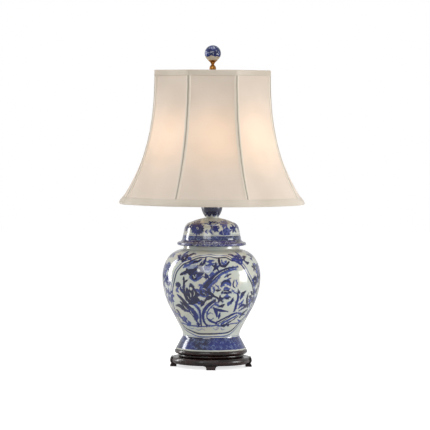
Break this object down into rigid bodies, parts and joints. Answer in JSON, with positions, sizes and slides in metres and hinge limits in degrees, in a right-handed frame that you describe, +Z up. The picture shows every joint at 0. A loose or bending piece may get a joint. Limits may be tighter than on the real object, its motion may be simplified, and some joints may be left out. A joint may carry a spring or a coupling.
{
  "type": "ginger jar lamp",
  "caption": "Blue-and-white ginger jar table lamp on a dark carved stand, with a turn-knob socket, bulb, harp, panelled bell shade and ball finial.",
  "frame": {"origin": "point on the table under the middle of the stand", "axes": "+Z up along the lamp's axis; -Y towards the front, where the jar's painted picture faces; +X to the right seen from the front"},
  "size_m": [0.4068, 0.4068, 0.7071],
  "materials": {
    "rosewood": "polished dark stain",
    "painted_porcelain": "clear glaze over hand-painted underglaze blue",
    "painted_ball": "clear glaze over hand-painted underglaze blue",
    "polished_brass": "polished",
    "steel": "zinc plated",
    "frame_wire": "off-white enamel",
    "black_plastic": "moulded",
    "insulating_paper": "pressed fibre",
    "contact_brass": "plain sheet",
    "bulb_frosting": "soft-white frosting",
    "bulb_stem_glass": "clear",
    "bulb_metal": "bright",
    "shade_fabric": "stretched satin weave",
    "shade_lining_fabric": "plain liner",
    "shade_trim_fabric": "folded satin tape"
  },
  "bodies": {
    "base": {"stand_base": "rosewood", "stand_feet": "rosewood", "jar_body": "painted_porcelain", "jar_lid": "painted_porcelain", "lamp_pipe": "steel", "bottom_washer": "steel", "bottom_locknut": "steel", "pipe_bushing": "black_plastic", "vase_cap": "polished_brass", "neck_tube": "polished_brass", "harp_saddle": "polished_brass", "socket_cap": "polished_brass", "socket_shell": "polished_brass", "socket_insulator": "insulating_paper", "socket_core": "black_plastic", "terminal_screws": "steel", "socket_screw_shell": "contact_brass", "socket_contact": "contact_brass"},
    "switch": {"switch_shaft": "steel", "switch_knob": "black_plastic"},
    "bulb": {"bulb_glass": "bulb_frosting", "bulb_cap": "bulb_metal", "bulb_contact": "bulb_metal", "bulb_stem": "bulb_stem_glass"},
    "harp": {"harp_wire": "polished_brass", "harp_top_stud": "polished_brass"},
    "ferrule_left": {"harp_ferrule_left": "polished_brass"},
    "ferrule_right": {"harp_ferrule_right": "polished_brass"},
    "shade": {"shade_cover": "shade_fabric", "shade_lining": "shade_lining_fabric", "shade_top_ring": "frame_wire", "shade_bottom_ring": "frame_wire", "shade_ribs": "frame_wire", "shade_spider": "frame_wire", "shade_top_trim": "shade_trim_fabric", "shade_bottom_trim": "shade_trim_fabric", "shade_seam_trims": "shade_trim_fabric"},
    "finial": {"finial_base": "polished_brass", "finial_ball": "painted_ball"}
  },
  "joints": [
    {"name": "switch_turn", "type": "hinge", "parent": "base", "child": "switch", "pos_m": [0, -0.0262, 0.4177], "axis": [0, -1, 0], "continuous": true},
    {"name": "bulb_turn", "type": "hinge", "parent": "base", "child": "bulb", "pos_m": [0, 0, 0.45], "axis": [0, 0, 1], "continuous": true},
    {"name": "harp_lift", "type": "slide", "parent": "base", "child": "harp", "axis": [0, 0, 1], "range_m": [0, 0.025]},
    {"name": "ferrule_left_slide", "type": "slide", "parent": "harp", "child": "ferrule_left", "axis": [0, 0, 1], "range_m": [0, 0.012]},
    {"name": "ferrule_right_slide", "type": "slide", "parent": "harp", "child": "ferrule_right", "axis": [0, 0, 1], "range_m": [0, 0.012]},
    {"name": "shade_turn", "type": "hinge", "parent": "harp", "child": "shade", "pos_m": [0, 0, 0.6446], "axis": [0, 0, 1], "continuous": true},
    {"name": "finial_turn", "type": "hinge", "parent": "harp", "child": "finial", "pos_m": [0, 0, 0.66], "axis": [0, 0, 1], "continuous": true}
  ]
}
